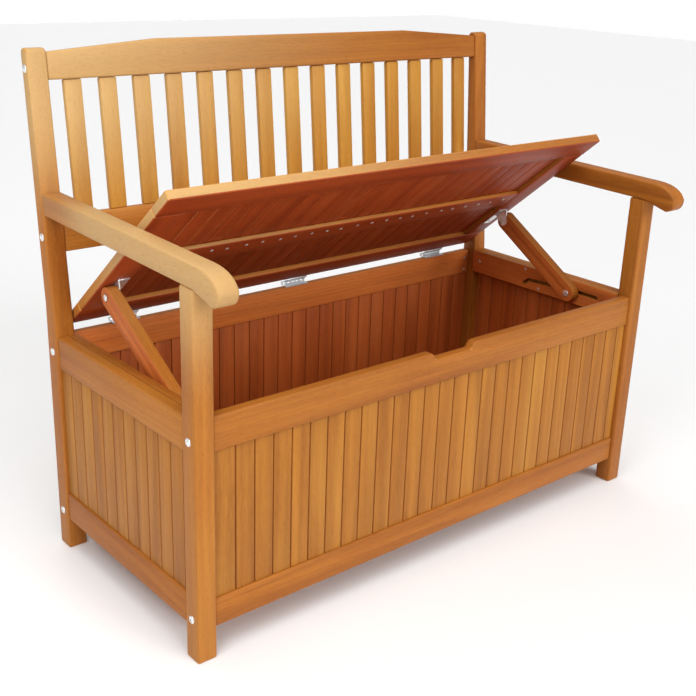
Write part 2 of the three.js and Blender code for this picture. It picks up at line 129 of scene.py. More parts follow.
woodFigure = {
    # noises: cells for each metre along the grain and twice across it
    "streak": {"cells": (1.5, 36, 36), "detail": 3.0, "twist": 0.6, "band": (0.30, 0.70)},
    "blush": {"cells": (3.0, 9, 9), "detail": 1.0, "twist": 0.0, "band": (0.35, 0.68)},
    "fibre": {"cells": (26, 950, 950), "detail": 3.0, "twist": 0.0, "band": (0.42, 0.66)},
    "pore": {"cells": (75, 2300, 2300), "detail": 1.0, "twist": 0.0, "band": (0.60, 0.74)},
    "wander": {"cells": (1.1, 11, 11), "detail": 2.0, "twist": 0.0},
    # growth rings: how many for each metre, where the pith lies, and how far wander and seed turn them
    "rings": {"density": 150, "pith": (0, 0.05, 0.11), "wander": 26.0, "seed": 40.0},
    "seedShift": (17.3, 3.7, 5.9),      # moves the figure from one piece of wood to the next
    "seedTone": 7.31,
    # how far each mark takes the colour from what is under it
    "share": {"blush": 0.55, "ground": 0.10, "rings": 0.20, "fibre": 0.22, "pore": 0.45, "edge": 0.70,
              "insideShadeAndLightEdge": 0.6},
    "relief": {"fibre": 0.6, "rings": 0.25, "pore": 0.5, "strength": 0.35, "depth": 0.00018},
    "polish": {"rough": 0.40, "fibre": 0.16, "pore": 0.12, "edge": 0.06, "specular": 0.22},
    # painted sheen: the upper left of the bench is paled, as light falling from the upper left pales it,
    # from "right" to "left" and from "low" to "high"; towards the back it starts higher by "lift"
    "paintedSheen": {"low": 0.44, "high": 0.68, "right": -0.30, "left": 0.52, "front": 0.05, "back": 0.22,
               "lift": 0.15, "share": 0.80, "tone": (0.62, 0.400, 0.165, 1)},
}

# the tint for the faces turned into the box is painted light: painted shade darkens and reddens the boards'
# and lid's inner faces, painted light brightens the frame's; "joint" stands in for "pale" along the boards'
# edges
woodTones = {
    "frame_wood": {
        "deep": (0.28, 0.072, 0.008, 1), "warm": (0.45, 0.142, 0.016, 1),
        "pale": (0.56, 0.235, 0.036, 1), "insideShadeAndLight": (1.42, 1.12, 1.70, 1)},
    "board_wood": {
        "deep": (0.29, 0.088, 0.010, 1), "warm": (0.47, 0.172, 0.020, 1),
        "pale": (0.56, 0.260, 0.040, 1), "insideShadeAndLight": (1.00, 0.58, 0.85, 1), "joint": (0.26, 0.070, 0.008, 1)},
    "slat_wood": {
        "deep": (0.42, 0.155, 0.018, 1), "warm": (0.60, 0.270, 0.034, 1),
        "pale": (0.68, 0.380, 0.066, 1), "insideShadeAndLight": (1, 1, 1, 1)},
    "lid_wood": {
        "deep": (0.33, 0.090, 0.014, 1), "warm": (0.54, 0.182, 0.028, 1),
        "pale": (0.66, 0.310, 0.064, 1), "insideShadeAndLight": (0.74, 0.31, 0.34, 1)},
    # darker, redder tones of the box's floor and its batten: painted shade
    "inside_wood": {
        "deep": (0.29, 0.072, 0.013, 1), "warm": (0.47, 0.125, 0.024, 1),
        "pale": (0.56, 0.205, 0.045, 1), "insideShadeAndLight": (1, 1, 1, 1)},
}


def emptyMaterial(name):
    material = bpy.data.materials.new(name)
    material.use_nodes = True
    return material, NodeMaker(material.node_tree)


def woodMaterial(name, tones):
    material, maker = emptyMaterial(name)
    place = maker.attribute("grain", "Vector")
    seed, edge, inside = (maker.attribute(label) for label in ("seed", "edge", "inside"))
    shift = maker.vector("MULTIPLY", maker.combined(seed, seed, seed), woodFigure["seedShift"])
    shifted = maker.vector("ADD", place, shift)

    def grainNoise(key):
        figure = woodFigure[key]
        stretched = maker.vector("MULTIPLY", shifted, figure["cells"])
        return maker.node("ShaderNodeTexNoise", None,
                          {"Vector": stretched, "Scale": 1.0, "Detail": figure["detail"],
                           "Distortion": figure["twist"]})

    def spread(key, noise):
        return maker.between(noise, *woodFigure[key]["band"])

    streak, blush, pore = (spread(key, grainNoise(key)) for key in ("streak", "blush", "pore"))
    fibre = grainNoise("fibre")
    wander = grainNoise("wander")

    # growth rings: distance from a pith line outside the board, pushed about along its length
    r = woodFigure["rings"]
    across = maker.vector("MULTIPLY", maker.vector("ADD", place, r["pith"]), (0, 1, 1))
    reach = maker.node("ShaderNodeVectorMath", {"operation": "LENGTH"}, {0: across}, "Value")
    turns = reach * (r["density"] * math.tau) + wander * r["wander"] + seed * r["seed"]
    rings = maker.node("ShaderNodeMath", {"operation": "SINE"}, {0: turns}) * 0.5 + 0.5

    # mask of the painted sheen, paler towards the upper left of the bench
    b = woodFigure["paintedSheen"]
    frameX, frameY, frameZ = maker.parts(maker.node("ShaderNodeTexCoord", output="Object"))
    raised = frameZ - maker.between(frameY, b["front"], b["back"]) * b["lift"]
    paintedSheen = maker.between(raised, b["low"], b["high"]) * maker.between(0 - frameX, b["right"], b["left"])

    share = woodFigure["share"]
    tone = maker.node("ShaderNodeMath", {"operation": "FRACT"}, {0: seed * woodFigure["seedTone"]})
    body = maker.mix(streak, tones["deep"], tones["warm"])
    body = maker.mix(blush * share["blush"] * tone + share["ground"], body, tones["pale"])
    body = maker.mix(rings * share["rings"], body, tones["deep"])
    body = maker.mix(spread("fibre", fibre) * share["fibre"], body, tones["pale"])
    # painted sheen: the upper left is paled towards a pale tan, as light from there would pale it
    body = maker.mix(paintedSheen * (1 - inside) * b["share"], body, b["tone"])
    body = maker.mix(pore * share["pore"], body, tones["deep"], "MULTIPLY")
    # paler rounded edges: painted highlight where light catches them, partly also wear; on the boards a dark
    # joint instead, and less of it on the faces turned into the box
    body = maker.mix(edge * share["edge"] * (1 - inside * share["insideShadeAndLightEdge"]), body,
                     tones.get("joint", tones["pale"]))
    # painted shade and light on the faces turned into the box: darker and redder boards and lid, a brighter
    # frame
    body = maker.mix(inside, body, tones["insideShadeAndLight"], "MULTIPLY")

    relief = woodFigure["relief"]
    height = fibre * relief["fibre"] + rings * relief["rings"] - pore * relief["pore"]
    bump = maker.node("ShaderNodeBump", None,
                      {"Strength": relief["strength"], "Distance": relief["depth"], "Height": height})
    polish = woodFigure["polish"]
    rough = polish["rough"] + fibre * polish["fibre"] + pore * polish["pore"] - edge * polish["edge"]
    shader = maker.node("ShaderNodeBsdfPrincipled", None,
                        {"Base Color": body, "Roughness": rough, "Normal": bump,
                         "Specular IOR Level": polish["specular"]})
    maker.node("ShaderNodeOutputMaterial", None, {"Surface": shader})
    return material


metalFigure = {
    "cloud": {"scale": 260.0, "detail": 3.0, "band": (0.35, 0.7), "rough": 0.14},
    "scratch": {"cells": (200, 2600, 2600), "rough": 0.06, "strength": 0.2, "depth": 0.00005},
    "dull": 0.72,               # share of its colour that a dull patch keeps
    "metallic": 0.65,
}
metalTones = {
    "zinc": {"name": "zinc plate", "colour": (0.80, 0.82, 0.84), "roughness": 0.26, "mottle": 0.6},
    "bright_steel": {"name": "bright plate", "colour": (0.86, 0.86, 0.86), "roughness": 0.12, "mottle": 0.4},
}


def metalMaterial(tones):
    material, maker = emptyMaterial(tones["name"])
    clouds, scratches = metalFigure["cloud"], metalFigure["scratch"]
    place = maker.node("ShaderNodeTexCoord", output="Object")
    cloud = maker.node("ShaderNodeTexNoise", None,
                       {"Vector": place, "Scale": clouds["scale"], "Detail": clouds["detail"]})
    scratch = maker.node("ShaderNodeTexNoise", None,
                         {"Vector": maker.vector("MULTIPLY", place, scratches["cells"]), "Scale": 1.0})
    bright = (*tones["colour"], 1)
    dull = (*(c * metalFigure["dull"] for c in tones["colour"]), 1)
    body = maker.mix(maker.between(cloud, *clouds["band"]) * tones["mottle"], bright, dull)
    rough = tones["roughness"] + cloud * clouds["rough"] + scratch * scratches["rough"]
    bump = maker.node("ShaderNodeBump", None,
                      {"Strength": scratches["strength"], "Distance": scratches["depth"], "Height": scratch})
    shader = maker.node("ShaderNodeBsdfPrincipled", None,
                        {"Base Color": body, "Metallic": metalFigure["metallic"], "Roughness": rough,
                         "Normal": bump})
    maker.node("ShaderNodeOutputMaterial", None, {"Surface": shader})
    return material


materials = {}
for slot, tones in woodTones.items():
    materials[slot] = woodMaterial("oiled " + slot.replace("_", " "), tones)
for slot, tones in metalTones.items():
    materials[slot] = metalMaterial(tones)
print("materials made:", len(materials))

right = Vector((1, 0, 0))
rearward = Vector((0, 1, 0))
upward = Vector((0, 0, 1))


def nodeMiddle(node):
    low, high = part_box(node)
    return (low + high) / 2


def largestFaceNormal(node):
    mesh = frame["nodes"][node].data
    return max(mesh.polygons, key=lambda face: face.area).normal.copy()


def turnedTo(direction, way):
    # the direction or its opposite, whichever points more that way
    return -direction if direction.dot(way) < 0 else direction


def jointPlace(name):
    return next(Vector(joint["pos_m"]) for joint in frame["joints"] if joint["name"] == name)


def nodeReach(node, direction, start=Vector()):
    # how far the node's points lie from the start along a direction, least and most
    places = [(vertex.co - start).dot(direction) for vertex in frame["nodes"][node].data.vertices]
    return min(places), max(places)


lidNormal = turnedTo(largestFaceNormal("lid_boards"), upward)
lidSlope = turnedTo(lidNormal.cross(right).normalized(), upward)      # up the open lid, to its front edge
backSlope = turnedTo(largestFaceNormal("lower_back_rail").cross(right).normalized(), upward)
lidPivot = jointPlace("lid_hinge")
hingeMiddle = Vector((0, lidPivot.y, lidPivot.z))                     # on the hinge line, halfway along it
propPivot = jointPlace("left_prop_swing")
pinMiddle = nodeMiddle("left_guide_pin")
propSlope = Vector((0, propPivot.y - pinMiddle.y, propPivot.z - pinMiddle.z)).normalized()

finishing = {
    "seed": 41,
    "narrow": 0.0016,           # a strip this narrow belongs to a rounded edge
    "inwardTurn": 0.6,          # least cosine between the way into the box and a face turned to it
    "bevelAngle": 35,           # edges sharper than this are rounded
    "sharpAngle": 40,           # edges sharper than this stay sharp in the shading
    "fastenerSharpAngle": 38,
    "mergeReach": 1e-5,
    "flatAngle": 0.5,
}
seeds = random.Random(finishing["seed"])


def storeFloats(mesh, name, values):
    attribute = mesh.attributes.new(name, "FLOAT", "POINT")
    attribute.data.foreach_set("value", values)


def storeVectors(mesh, name, vectors):
    attribute = mesh.attributes.new(name, "FLOAT_VECTOR", "POINT")
    attribute.data.foreach_set("vector", [part for vector in vectors for part in vector])


def markEdges(mesh):
    # 1 on the points that only narrow strips meet, so that the colour fades in over a rounded edge
    rounded = [1.0] * len(mesh.vertices)
    for face in mesh.polygons:
        points = [mesh.vertices[i].co for i in face.vertices]
        longest = max((points[i] - points[i - 1]).length for i in range(len(points)))
        if face.area / longest > finishing["narrow"]:
            for i in face.vertices:
                rounded[i] = 0.0
    storeFloats(mesh, "edge", rounded)


def markGrain(mesh, along, origin=Vector()):
    # each point's place along the grain and twice across it, in metres
    first = along.orthogonal().normalized()
    second = along.cross(first)
    places = [vertex.co - origin for vertex in mesh.vertices]
    storeVectors(mesh, "grain", [(p.dot(along), p.dot(first), p.dot(second)) for p in places])


def markInside(mesh, inward):
    # 1 on the points whose largest face is turned into the box, which masks the painted shade and light
    # there
    area = [0.0] * len(mesh.vertices)
    inside = [0.0] * len(mesh.vertices)
    for face in mesh.polygons:
        turned = 1.0 if face.normal.dot(inward) > finishing["inwardTurn"] else 0.0
        for i in face.vertices:
            if face.area > area[i]:
                area[i], inside[i] = face.area, turned
    storeFloats(mesh, "inside", inside)


def evaluated(obj):
    graph = bpy.context.evaluated_depsgraph_get()
    return bpy.data.meshes.new_from_object(obj.evaluated_get(graph), depsgraph=graph)


def linked(name, data):
    obj = bpy.data.objects.new(name, data)
    bpy.context.scene.collection.objects.link(obj)
    return obj


def meshFrom(shape, name):
    mesh = bpy.data.meshes.new(name)
    shape.to_mesh(mesh)
    shape.free()
    return mesh


def shadeSmooth(mesh, sharpAngle):
    for face in mesh.polygons:
        face.use_smooth = True
    mesh.set_sharp_from_angle(angle=math.radians(sharpAngle))


def withRoundedEdges(name, mesh, radius, segments):
    obj = linked(name, mesh)
    bevel = obj.modifiers.new("rounding", "BEVEL")
    bevel.width = radius
    bevel.segments = segments
    bevel.limit_method = "ANGLE"
    bevel.angle_limit = math.radians(finishing["bevelAngle"])
    bevel.use_clamp_overlap = True
    made = evaluated(obj)
    bpy.data.objects.remove(obj)
    made.name = name
    shadeSmooth(made, finishing["sharpAngle"])
    return made


def mergedCopy(node):
    shape = bmesh.new()
    shape.from_mesh(frame["nodes"][node].data)
    bmesh.ops.remove_doubles(shape, verts=shape.verts, dist=finishing["mergeReach"])
    bmesh.ops.dissolve_limit(shape, angle_limit=math.radians(finishing["flatAngle"]), verts=shape.verts,
                             edges=shape.edges)
    mesh = meshFrom(shape, node)
    needed = ("position", ".edge_verts", ".corner_vert", ".corner_edge")
    for attribute in list(mesh.attributes):
        if attribute.name not in needed and not attribute.is_internal:
            mesh.attributes.remove(attribute)
    return mesh


def finishPiece(mesh, name, body, slot, nodes):
    mesh.materials.clear()
    mesh.materials.append(materials[slot])
    piece = linked(name, mesh)
    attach(piece, body)
    if nodes:
        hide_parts(*nodes)


def camelName(node):
    words = node.split("_")
    return words[0] + "".join(word.capitalize() for word in words[1:])


# widths of the rounded edges, in strips across them
woodEdges = {"segments": 3, "leg": 0.0038, "arm": 0.0042, "rail": 0.0034, "lid": 0.0026, "prop": 0.0034,
             "guide": 0.0020, "slat": 0.0025}
metalEdges = {"segments": 2, "bracket": 0.0004, "guidePin": 0.0008, "leaf": 0.0003, "hingePin": 0.0004}


def woodPiece(node, edge, along, slot="frame_wood", body="frame", inward=None):
    mesh = withRoundedEdges(camelName(node), mergedCopy(node), woodEdges[edge], woodEdges["segments"])
    markEdges(mesh)
    markGrain(mesh, along, nodeMiddle(node))
    storeFloats(mesh, "seed", [seeds.random()] * len(mesh.vertices))
    if inward is not None:
        markInside(mesh, inward)
    finishPiece(mesh, camelName(node), body, slot, [node])


def metalPiece(node, edge, slot, body):
    mesh = withRoundedEdges(camelName(node), mergedCopy(node), metalEdges[edge], metalEdges["segments"])
    finishPiece(mesh, camelName(node), body, slot, [node])


# each side, its sign along X and the way into the box from it
sides = (("left", -1, right), ("right", 1, -right))

for side, _, inward in sides:
    woodPiece(side + "_front_leg", "leg", upward)
    woodPiece(side + "_rear_leg", "leg", upward)
    woodPiece(side + "_armrest", "arm", rearward)
    woodPiece(side + "_side_top_rail", "rail", rearward)
    woodPiece(side + "_side_bottom_rail", "rail", rearward)
    woodPiece(side + "_guide_board", "guide", rearward, inward=inward)
    # the props' left faces are brightened by painted light, the tint of faces turned into the box
    woodPiece(side + "_prop", "prop", propSlope, "frame_wood", side + "_prop_arm", inward=-right)
    woodPiece("lid_" + side + "_rail", "lid", lidSlope, "lid_wood", "seat_lid", inward=-lidNormal)
for node in ("front_top_rail", "front_bottom_rail"):
    woodPiece(node, "rail", right)
for node in ("rear_top_rail", "rear_bottom_rail"):
    woodPiece(node, "rail", right, inward=-rearward)
for node in ("crest_rail", "lower_back_rail"):
    woodPiece(node, "rail", right)
woodPiece("floor_batten", "rail", right, "inside_wood")
for node in ("lid_front_rail", "lid_rear_rail", "lid_batten"):
    woodPiece(node, "lid", right, "lid_wood", "seat_lid", inward=-lidNormal)
print("rails, legs, arms and props rounded")


def geometryTree(name, inputs):
    tree = bpy.data.node_groups.new(name, "GeometryNodeTree")
    identifiers = {}
    for label, kind in inputs.items():
        socket = tree.interface.new_socket(label, in_out="INPUT", socket_type="NodeSocket" + kind)
        identifiers[label] = socket.identifier
    tree.interface.new_socket("Geometry", in_out="OUTPUT", socket_type="NodeSocketGeometry")
    maker = NodeMaker(tree)
    entry = tree.nodes.new("NodeGroupInput")
    given = {label: Signal(maker, entry.outputs[label]) for label in inputs}
    return tree, maker, given, identifiers


def closeTree(maker, geometry, finish):
    real = maker.node("GeometryNodeRealizeInstances", None, {"Geometry": geometry})
    painted = maker.node("GeometryNodeSetMaterial", None, {"Geometry": real, "Material": finish})
    maker.node("NodeGroupOutput", None, {"Geometry": painted})


def runTree(name, mesh, tree, identifiers, values):
    host = linked(name + "Host", mesh)
    modifier = host.modifiers.new(name, "NODES")
    modifier.node_group = tree
    for label, value in values.items():
        modifier[identifiers[label]] = value
    host.update_tag()
    made = evaluated(host)
    made.name = name
    host.modifiers.remove(modifier)
    bpy.data.objects.remove(host)
    return made


def boardRowTree():
    # boards side by side along X; with Stretch the first and last are fitted to the row's ends
    tree, maker, given, identifiers = geometryTree("board row", {
        "Board": "Object", "Boards": "Int", "First Width": "Float", "Pitch": "Float", "Row Length": "Float",
        "Stretch": "Float", "Seed": "Int", "Finish": "Material"})
    index = maker.node("GeometryNodeInputIndex")
    started = maker.node("ShaderNodeMath", {"operation": "GREATER_THAN"}, {0: index, 1: 0.5})
    left = started * (given["First Width"] + (index - 1) * given["Pitch"])
    end = maker.node("ShaderNodeMath", {"operation": "MINIMUM"},
                     {0: given["First Width"] + index * given["Pitch"], 1: given["Row Length"]})
    fitted = (end - left) / given["Pitch"]
    width = 1 + (fitted - 1) * given["Stretch"]
    row = maker.node("GeometryNodeMeshLine", {"mode": "OFFSET"},
                     {"Count": given["Boards"], "Offset": (0, 0, 0)})
    placed = maker.node("GeometryNodeSetPosition", None,
                        {"Geometry": row, "Position": maker.combined(left, 0, 0)})
    board = maker.node("GeometryNodeObjectInfo", None, {"Object": given["Board"]}, "Geometry")
    copies = maker.node("GeometryNodeInstanceOnPoints", None,
                        {"Points": placed, "Instance": board, "Scale": maker.combined(width, 1, 1)})
    seeded = maker.node("GeometryNodeStoreNamedAttribute", {"data_type": "FLOAT", "domain": "INSTANCE"},
                        {"Geometry": copies, "Name": "seed", "Value": maker.chance(given["Seed"])})
    closeTree(maker, seeded, given["Finish"])
    return tree, identifiers


boardRow = boardRowTree()

boardShape = {
    "rebate": 0.0005,
    "rebateDepth": 0.003,
    "deepest": 0.4,             # share of the thickness that a rebate may take
    "chamfer": 0.0011,
    "rounding": 0.0006,
    "segments": 2,
}
panelLayout = {
    "pitch": 0.0369,
    "firstWidth": 0.043,        # the first board of the front and rear rows is wider
    "lidPitch": 0.0373,
    "floorPitch": 0.0732,
    "leastWidth": 0.004,        # a last board narrower than this is left to the one before it
    "slatTail": 0.5,            # share of the pitch by which the row stops short after its last slat
    "seeds": {"frontBoards": 3, "rearBoards": 8, "leftSideBoards": 15, "rightSideBoards": 21,
              "floorBoards": 30, "lidBoards": 44, "backSlats": 52},
}


def boardMesh(width, thickness, length, rebated):
    # a board with its width along X, its outer face at y = 0 and its length along Z
    corner = [(0, 0)]
    if rebated:
        nip, chamfer = boardShape["rebate"], boardShape["chamfer"]
        depth = min(boardShape["rebateDepth"], thickness * boardShape["deepest"])
        corner = [(nip + chamfer, 0), (nip, chamfer), (nip, depth), (0, depth)]
    outline = [(width - x, y) for x, y in corner] + [(width - x, thickness - y) for x, y in corner[::-1]]
    outline += [(x, thickness - y) for x, y in corner] + [(x, y) for x, y in corner[::-1]]
    shape = bmesh.new()
    low = [shape.verts.new((x, y, 0)) for x, y in outline]
    high = [shape.verts.new((x, y, length)) for x, y in outline]
    shape.faces.new(low[::-1])
    shape.faces.new(high)
    for i in range(len(outline)):
        shape.faces.new((low[i - 1], low[i], high[i], high[i - 1]))
    bmesh.ops.recalc_face_normals(shape, faces=shape.faces)
    return meshFrom(shape, "board")


def boardPanel(name, nodes, slot, place, size, first, pitch, body="frame", slatWidth=None):
    # place turns the row's own axes (X along the row, Y through the boards, Z up them) to the frame's
    length, thickness, height = size
    rebated = slatWidth is None
    rounding = boardShape["rounding"] if rebated else woodEdges["slat"]
    mesh = boardMesh(slatWidth or pitch, thickness, height, rebated)
    mesh = withRoundedEdges("board", mesh, rounding, boardShape["segments"])
    markEdges(mesh)
    markGrain(mesh, upward)
    if rebated:
        markInside(mesh, rearward)
    board = linked("boardSource", mesh)
    count = 1 + math.ceil((length - first - panelLayout["leastWidth"]) / pitch)
    values = {"Board": board, "Boards": count, "First Width": first, "Pitch": pitch, "Row Length": length,
              "Stretch": 1.0 if rebated else 0.0, "Seed": panelLayout["seeds"][name],
              "Finish": materials[slot]}
    made = runTree(name, bpy.data.meshes.new("row"), *boardRow, values)
    made.transform(place)
    bpy.data.objects.remove(board)
    finishPiece(made, name, body, slot, nodes)


def axes(first, second, third, origin):
    turn = Matrix((first, second, third)).transposed().to_4x4()
    return Matrix.Translation(origin) @ turn


def boxPanels():
    pitch, first = panelLayout["pitch"], panelLayout["firstWidth"]
    low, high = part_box("front_boards")
    boardPanel("frontBoards", ["front_boards"], "board_wood", axes(right, rearward, upward, low),
               high - low, first, pitch)
    low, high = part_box("rear_boards")
    corner = Vector((high.x, high.y, low.z))
    boardPanel("rearBoards", ["rear_boards"], "board_wood", axes(-right, -rearward, upward, corner),
               high - low, first, pitch)
    for side, out, inward in sides:
        low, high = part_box(side + "_side_boards")
        size = (high.y - low.y, high.x - low.x, high.z - low.z)
        corner = Vector((low.x, high.y, low.z)) if out < 0 else Vector((high.x, low.y, low.z))
        boardPanel(side + "SideBoards", [side + "_side_boards"], "board_wood",
                   axes(rearward * out, inward, upward, corner), size, pitch, pitch)


def floorPanel():
    low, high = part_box("floor_boards")
    pitch = panelLayout["floorPitch"]
    size = (high.y - low.y, high.z - low.z, high.x - low.x)
    boardPanel("floorBoards", ["floor_boards"], "inside_wood", axes(rearward, upward, right, low), size,
               pitch, pitch)


def lidPanel():
    low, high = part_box("lid_boards")
    rear, front = nodeReach("lid_boards", lidSlope, lidPivot)
    bottom, top = nodeReach("lid_boards", lidNormal, lidPivot)
    origin = hingeMiddle + right * low.x + lidSlope * rear + lidNormal * top
    pitch = panelLayout["lidPitch"]
    boardPanel("lidBoards", ["lid_boards"], "lid_wood", axes(right, -lidNormal, lidSlope, origin),
               (high.x - low.x, top - bottom, front - rear), pitch, pitch, "seat_lid")


def slatRow():
    nodes = sorted(node for node in frame["nodes"] if node.startswith("back_slat"))
    low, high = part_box(nodes[0])
    pitch = (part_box(nodes[-1])[0].x - low.x) / (len(nodes) - 1)
    face = turnedTo(backSlope.cross(right).normalized(), rearward)
    foot, head = nodeReach(nodes[0], backSlope)
    front, rear = nodeReach(nodes[0], face)
    origin = Vector((low.x, 0, 0)) + backSlope * foot + face * front
    size = ((len(nodes) - panelLayout["slatTail"]) * pitch, rear - front, head - foot)
    boardPanel("backSlats", nodes, "slat_wood", axes(right, face, backSlope, origin), size, pitch, pitch,
               slatWidth=high.x - low.x)


boxPanels()
floorPanel()
lidPanel()
slatRow()
print("boards and slats laid out")

for side, _, _ in sides:
    metalPiece(side + "_prop_bracket", "bracket", "bright_steel", "seat_lid")
    metalPiece(side + "_guide_pin", "guidePin", "bright_steel", side + "_prop_arm")
for place in ("left", "middle", "right"):
    metalPiece(place + "_hinge_frame_leaf", "leaf", "zinc", "frame")
    metalPiece(place + "_hinge_lid_leaf", "leaf", "zinc", "seat_lid")
    metalPiece(place + "_hinge_pin", "hingePin", "zinc", "frame")
print("hinges and brackets finished")


def fastenerTree():
    # a head on each point, turned to the point's facing and spun by chance
    tree, maker, given, identifiers = geometryTree("fastener places", {
        "Geometry": "Geometry", "Fastener": "Object", "Seed": "Int", "Finish": "Material"})
    facing = maker.node("GeometryNodeInputNamedAttribute", {"data_type": "FLOAT_VECTOR"}, {"Name": "facing"})
    spin = maker.chance(given["Seed"], math.tau)
    turned = maker.node("FunctionNodeAlignRotationToVector", {"axis": "Z"}, {"Vector": facing})
    own = maker.node("FunctionNodeAxisAngleToRotation", None, {"Axis": (0, 0, 1), "Angle": spin})
    rotation = maker.node("FunctionNodeRotateRotation", {"rotation_space": "LOCAL"},
                          {"Rotation": turned, "Rotate By": own})
    source = maker.node("GeometryNodeObjectInfo", None, {"Object": given["Fastener"]}, "Geometry")
    copies = maker.node("GeometryNodeInstanceOnPoints", None,
                        {"Points": given["Geometry"], "Instance": source, "Rotation": rotation})
    closeTree(maker, copies, given["Finish"])
    return tree, identifiers


fastenerPlaces = fastenerTree()

# "sunk" is how far a head goes into the wood
boltHead = {
    "radius": 0.0070, "height": 0.0026, "sunk": 0.0004, "sides": 36,
    "wall": 0.0006, "domeStep": 90 / 6.6, "domeSteps": 5,
    "socket": 0.0024, "socketDepth": 0.0016, "socketLip": 1.12, "rim": 0.985, "lipDepth": 0.0002,
}
screwHead = {
    "radius": 0.0036, "height": 0.0003, "sunk": 0.0004, "sides": 48,
    "wall": 0.0001, "crown": 0.9,
    "slotReach": 0.0021, "slotHalf": 0.00045, "slotDepth": 0.0009, "slotLip": 1.15, "slotTaper": 0.8,
    "leastSine": 0.21,          # keeps the slot's outline within its reach
}
nailHead = {
    "radius": 0.0035, "height": 0.0009, "sunk": 0.0003, "sides": 14,
    "profile": ((0.96, 0.45), (0.7, 0.85), (0.3, 1.0)),      # shares of the radius and height
}


def lathed(rings, count):
    # rings of (radius, height), widest first; a ring's radius may be a function of the angle
    shape = bmesh.new()
    loops = []
    for radius, height in rings:
        loop = []
        for i in range(count):
            angle = math.tau * i / count
            r = radius(angle) if callable(radius) else radius
            loop.append(shape.verts.new((r * math.cos(angle), r * math.sin(angle), height)))
        loops.append(loop)
    for lower, upper in zip(loops, loops[1:]):
        for i in range(count):
            shape.faces.new((lower[i - 1], lower[i], upper[i], upper[i - 1]))
    shape.faces.new(loops[-1])
    shape.faces.new(loops[0][::-1])
    bmesh.ops.recalc_face_normals(shape, faces=shape.faces)
    mesh = meshFrom(shape, "fastener")
    shadeSmooth(mesh, finishing["fastenerSharpAngle"])
    return mesh


def fromNearestAxis(angle, count):
    # the angle from the nearest of so many evenly spread axes
    half = math.pi / count
    return (angle + half) % (2 * half) - half


def boltMesh():
    b = boltHead
    dome = [(b["radius"], -b["sunk"]), (b["radius"], b["wall"])]
    for step in range(1, b["domeSteps"] + 1):
        a = math.radians(b["domeStep"] * step)
        dome.append((b["radius"] * math.cos(a), b["wall"] + (b["height"] - b["wall"]) * math.sin(a)))

    def hexagon(angle):
        return b["socket"] / math.cos(fromNearestAxis(angle, 6))

    rim = b["height"] * b["rim"]
    dome += [(lambda a: hexagon(a) * b["socketLip"], rim), (hexagon, rim - b["lipDepth"]),
             (hexagon, rim - b["socketDepth"])]
    return lathed(dome, b["sides"])


def screwMesh():
    s = screwHead

    def cross(angle):
        # outline of a cross recess, by its distance at each angle
        sine = abs(math.sin(fromNearestAxis(angle, 4)))
        return min(s["slotReach"], s["slotHalf"] / max(sine, s["leastSine"]))

    rings = [(s["radius"], -s["sunk"]), (s["radius"], s["wall"]), (s["radius"] * s["crown"], s["height"]),
             (s["slotReach"] * s["slotLip"], s["height"]), (cross, s["height"] * s["slotTaper"]),
             (lambda a: cross(a) * s["slotTaper"], s["height"] - s["slotDepth"])]
    return lathed(rings, s["sides"])


def nailMesh():
    n = nailHead
    rings = [(n["radius"], -n["sunk"])]
    rings += [(n["radius"] * wide, n["height"] * high) for wide, high in n["profile"]]
    return lathed(rings, n["sides"])


fastenerSources = {"bolt": boltMesh(), "screw": screwMesh(), "nail": nailMesh()}


def fasteners(name, kind, body, slot, places, seed):
    # places are (point, direction that the head faces)
    points = bpy.data.meshes.new("places")
    points.from_pydata([tuple(point) for point, _ in places], [], [])
    storeVectors(points, "facing", [direction for _, direction in places])
    source = linked("fastenerSource", fastenerSources[kind].copy())
    values = {"Fastener": source, "Seed": seed, "Finish": materials[slot]}
    made = runTree(name, points, *fastenerPlaces, values)
    bpy.data.objects.remove(source)
    finishPiece(made, name, body, slot, [])


boltPlaces = {"rear": (0.885, 0.603, 0.395, 0.075), "front": (0.390, 0.077), "seed": 5}     # heights
screwPlaces = {
    "guideBoard": ((0.022, 0.023), (0.163, 0.007), (0.204, 0.044), (0.392, 0.023)),   # from its rear and top
    "railEnd": 0.014,
    "railBelow": (0.018, 0.046),
    "seed": 9,
}
nailPlaces = {"fromRear": 0.033, "driftAcross": 0.003, "driftAlong": 0.002, "seed": 13}
bracketPlaces = {"fromRear": (0.012, 0.034), "inset": 0.010, "leaf": 0.0023, "seed": 17}


def postMiddleAt(height):
    # the raked post's middle, front to rear, at a height
    mesh = frame["nodes"]["left_rear_leg"].data
    crossings = []
    for edge in mesh.edges:
        a, b = (mesh.vertices[i].co for i in edge.vertices)
        if (a.z - height) * (b.z - height) < 0:
            crossings.append(a.y + (b.y - a.y) * (height - a.z) / (b.z - a.z))
    return (min(crossings) + max(crossings)) / 2


def legBolts():
    places = []
    for side, out, _ in sides:
        low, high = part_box(side + "_front_leg")
        face = low.x if out < 0 else high.x
        for height in boltPlaces["rear"]:
            places.append((Vector((face, postMiddleAt(height), height)), right * out))
        for height in boltPlaces["front"]:
            places.append((Vector((face, (low.y + high.y) / 2, height)), right * out))
    fasteners("legBolts", "bolt", "frame", "bright_steel", places, boltPlaces["seed"])


def boxScrews():
    places = []
    railLow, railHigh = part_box("rear_top_rail")
    for side, out, inward in sides:
        low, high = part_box(side + "_guide_board")
        face = high.x if out < 0 else low.x
        for fromRear, below in screwPlaces["guideBoard"]:
            places.append((Vector((face, high.y - fromRear, high.z - below)), inward))
        for below in screwPlaces["railBelow"]:
            at = Vector((out * (railHigh.x - screwPlaces["railEnd"]), railLow.y, railHigh.z - below))
            places.append((at, -rearward))
    fasteners("boxScrews", "screw", "frame", "zinc", places, screwPlaces["seed"])


